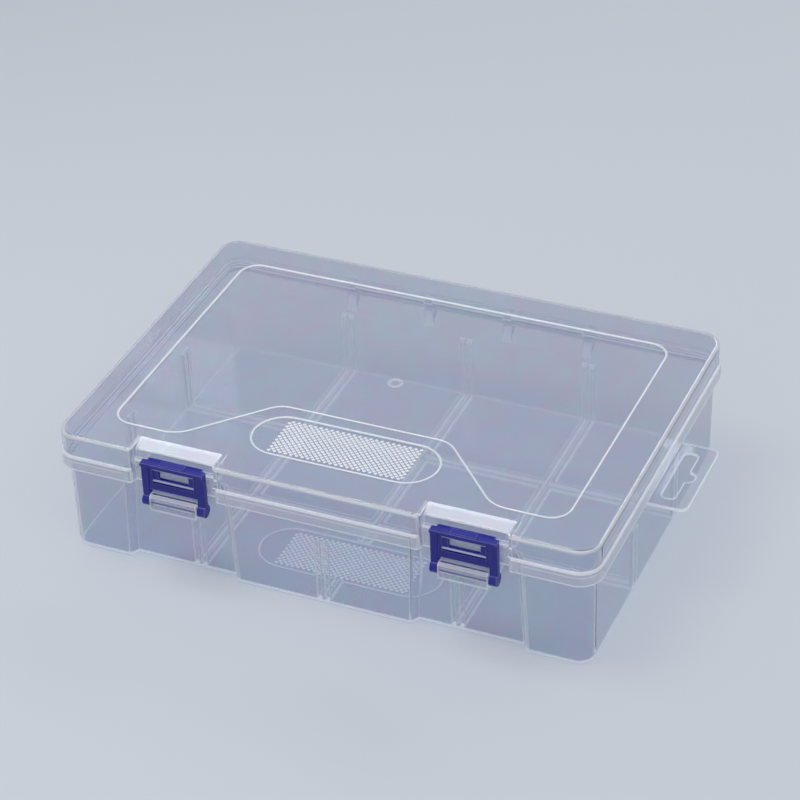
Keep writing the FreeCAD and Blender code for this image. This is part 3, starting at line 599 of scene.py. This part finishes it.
class OBJECT_OT_box_latches(bpy.types.Operator):
    """Finishes the two blue latches and adds their ridges"""
    bl_idname = "object.box_latches"
    bl_label = "Latches"

    def execute(self, context):
        shape, finish = context.scene.storage_box_shape, context.scene.storage_box_finish
        blue = blue_polypropylene("moulded_blue_polypropylene", finish, finish.latch_colour)
        # Pale ridges: a painted highlight.
        bright = blue_polypropylene("highlight_blue_polypropylene", finish, finish.ridge_highlight_colour)
        for joint in frame["joints"]:
            node = joint["child"]
            if node in ("latch_left", "latch_right"):
                dress(node, blue)
                piece = ridge_bars(node + "_ridges", shape, Vector(joint["pos_m"]), bright)
                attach(piece, node)
        return {"FINISHED"}


# Where each softbox stands, the width and height of its face, in metres, and its power in watts.
SOFTBOXES = {
    "key_softbox": ((-0.38, -0.14, 1.06), (0.54, 0.58), 5.8),
    "fill_softbox": ((0.6, -0.79, 1.1), (2.0, 1.0), 6.6),
    "rear_softbox": ((0.45, 0.94, 0.69), (1.2, 0.16), 3.0),
}

# Light crosses many clear walls, of two faces each, on its way to the camera.
LIGHT_BOUNCES = 32


def lay_floor(scene, stage):
    """The floor, a hair under the box."""
    reach = stage.floor_size / 2
    mesh = bpy.data.meshes.new("floor")
    corners = [(x, y, 0) for x, y in ((-reach, -reach), (reach, -reach), (reach, reach), (-reach, reach))]
    mesh.from_pydata(corners, [], [(0, 1, 2, 3)])
    mesh.materials.append(floor_paint("matt_floor_paint", stage.floor_colour))
    floor = bpy.data.objects.new("floor", mesh)
    floor.location.z = -HAIR
    scene.collection.objects.link(floor)


def set_surroundings(scene, stage):
    """A pale backdrop where the surroundings are seen, and a weaker light from all round."""
    world = bpy.data.worlds.new("studio")
    world.use_nodes = True
    tree = world.node_tree
    tree.nodes.clear()
    path = add_node(tree, "ShaderNodeLightPath")
    seen = path.outputs["Is Camera Ray"]
    for kind in ("Is Glossy Ray", "Is Transmission Ray"):
        either = add_node(tree, "ShaderNodeMath", {0: seen, 1: path.outputs[kind]}, operation="MAXIMUM")
        seen = either.outputs[0]
    # A ray that has met a matt surface gets the weaker light, so that the backdrop lights no such surface.
    unscattered = add_node(tree, "ShaderNodeMath", {
        0: path.outputs["Diffuse Depth"], 1: 0.5}, operation="LESS_THAN")
    shown = add_node(tree, "ShaderNodeMath", {0: seen, 1: unscattered.outputs[0]}, operation="MULTIPLY")
    ambient = add_node(tree, "ShaderNodeBackground", {
        "Color": (*stage.ambient_colour, 1), "Strength": stage.ambient_strength})
    backdrop = add_node(tree, "ShaderNodeBackground", {"Color": (*stage.backdrop_colour, 1), "Strength": 1})
    mix = add_node(tree, "ShaderNodeMixShader", {
        0: shown.outputs[0], 1: ambient.outputs[0], 2: backdrop.outputs[0]})
    add_node(tree, "ShaderNodeOutputWorld", {"Surface": mix.outputs[0]})
    scene.world = world


def place_softboxes(scene):
    """The softboxes, each turned to the middle of the box's foot."""
    for name, (spot, face, power) in SOFTBOXES.items():
        lamp = bpy.data.lights.new(name, "AREA")
        lamp.shape = "RECTANGLE"
        lamp.size, lamp.size_y = face
        lamp.energy = power
        holder = bpy.data.objects.new(name, lamp)
        holder.location = spot
        holder.rotation_euler = (-Vector(spot)).to_track_quat("-Z", "Y").to_euler()
        scene.collection.objects.link(holder)


def place_camera(scene, stage):
    """The camera, on a line from its target given by azimuth and elevation, and rolled about that line."""
    azimuth, elevation = stage.view_azimuth, stage.view_elevation
    forward = Vector((-math.sin(azimuth) * math.cos(elevation),
                      math.cos(azimuth) * math.cos(elevation), -math.sin(elevation)))
    level = Vector((math.cos(azimuth), math.sin(azimuth), 0))
    roll = Matrix.Rotation(stage.view_roll, 3, -forward)
    right, up = roll @ level, roll @ level.cross(forward)
    camera = bpy.data.objects.new("camera", bpy.data.cameras.new("camera"))
    camera.data.sensor_width = stage.view_sensor
    camera.data.lens = stage.view_lens
    spot = Vector(stage.view_target) - forward * stage.view_distance
    camera.matrix_world = Matrix.Translation(spot) @ Matrix((right, up, -forward)).transposed().to_4x4()
    scene.collection.objects.link(camera)
    scene.camera = camera


class OBJECT_OT_box_stage(bpy.types.Operator):
    """Lays the floor and sets the surroundings, softboxes and camera"""
    bl_idname = "object.box_stage"
    bl_label = "Stage"

    def execute(self, context):
        scene = context.scene
        lay_floor(scene, scene.storage_box_stage)
        set_surroundings(scene, scene.storage_box_stage)
        place_softboxes(scene)
        place_camera(scene, scene.storage_box_stage)
        scene.view_settings.view_transform = "Standard"
        # The clear plastic's film already lets this light through, and caustics would count it twice.
        scene.cycles.caustics_reflective = False
        scene.cycles.caustics_refractive = False
        scene.cycles.max_bounces = LIGHT_BOUNCES
        scene.cycles.transmission_bounces = LIGHT_BOUNCES
        scene.cycles.transparent_max_bounces = LIGHT_BOUNCES
        return {"FINISHED"}


class VIEW3D_PT_storage_box(bpy.types.Panel):
    """Lists the steps that build the box's looks"""
    bl_label = "Storage Box"
    bl_space_type = "VIEW_3D"
    bl_region_type = "UI"
    bl_category = "Storage Box"

    def draw(self, context):
        for step in STEPS:
            self.layout.operator(step.bl_idname)


STEPS = (OBJECT_OT_box_mouldings, OBJECT_OT_box_grips, OBJECT_OT_box_beads, OBJECT_OT_box_latches,
         OBJECT_OT_box_stage)
CLASSES = (StorageBoxShape, StorageBoxFinish, StorageBoxStage, *STEPS, VIEW3D_PT_storage_box)


def register():
    for item in CLASSES:
        bpy.utils.register_class(item)
    bpy.types.Scene.storage_box_shape = PointerProperty(type=StorageBoxShape)
    bpy.types.Scene.storage_box_finish = PointerProperty(type=StorageBoxFinish)
    bpy.types.Scene.storage_box_stage = PointerProperty(type=StorageBoxStage)


def unregister():
    del bpy.types.Scene.storage_box_stage
    del bpy.types.Scene.storage_box_finish
    del bpy.types.Scene.storage_box_shape
    for item in reversed(CLASSES):
        bpy.utils.unregister_class(item)


def main():
    register()
    bpy.ops.object.box_mouldings()
    bpy.ops.object.box_grips()
    bpy.ops.object.box_beads()
    bpy.ops.object.box_latches()
    bpy.ops.object.box_stage()


if __name__ == "__main__":
    main()
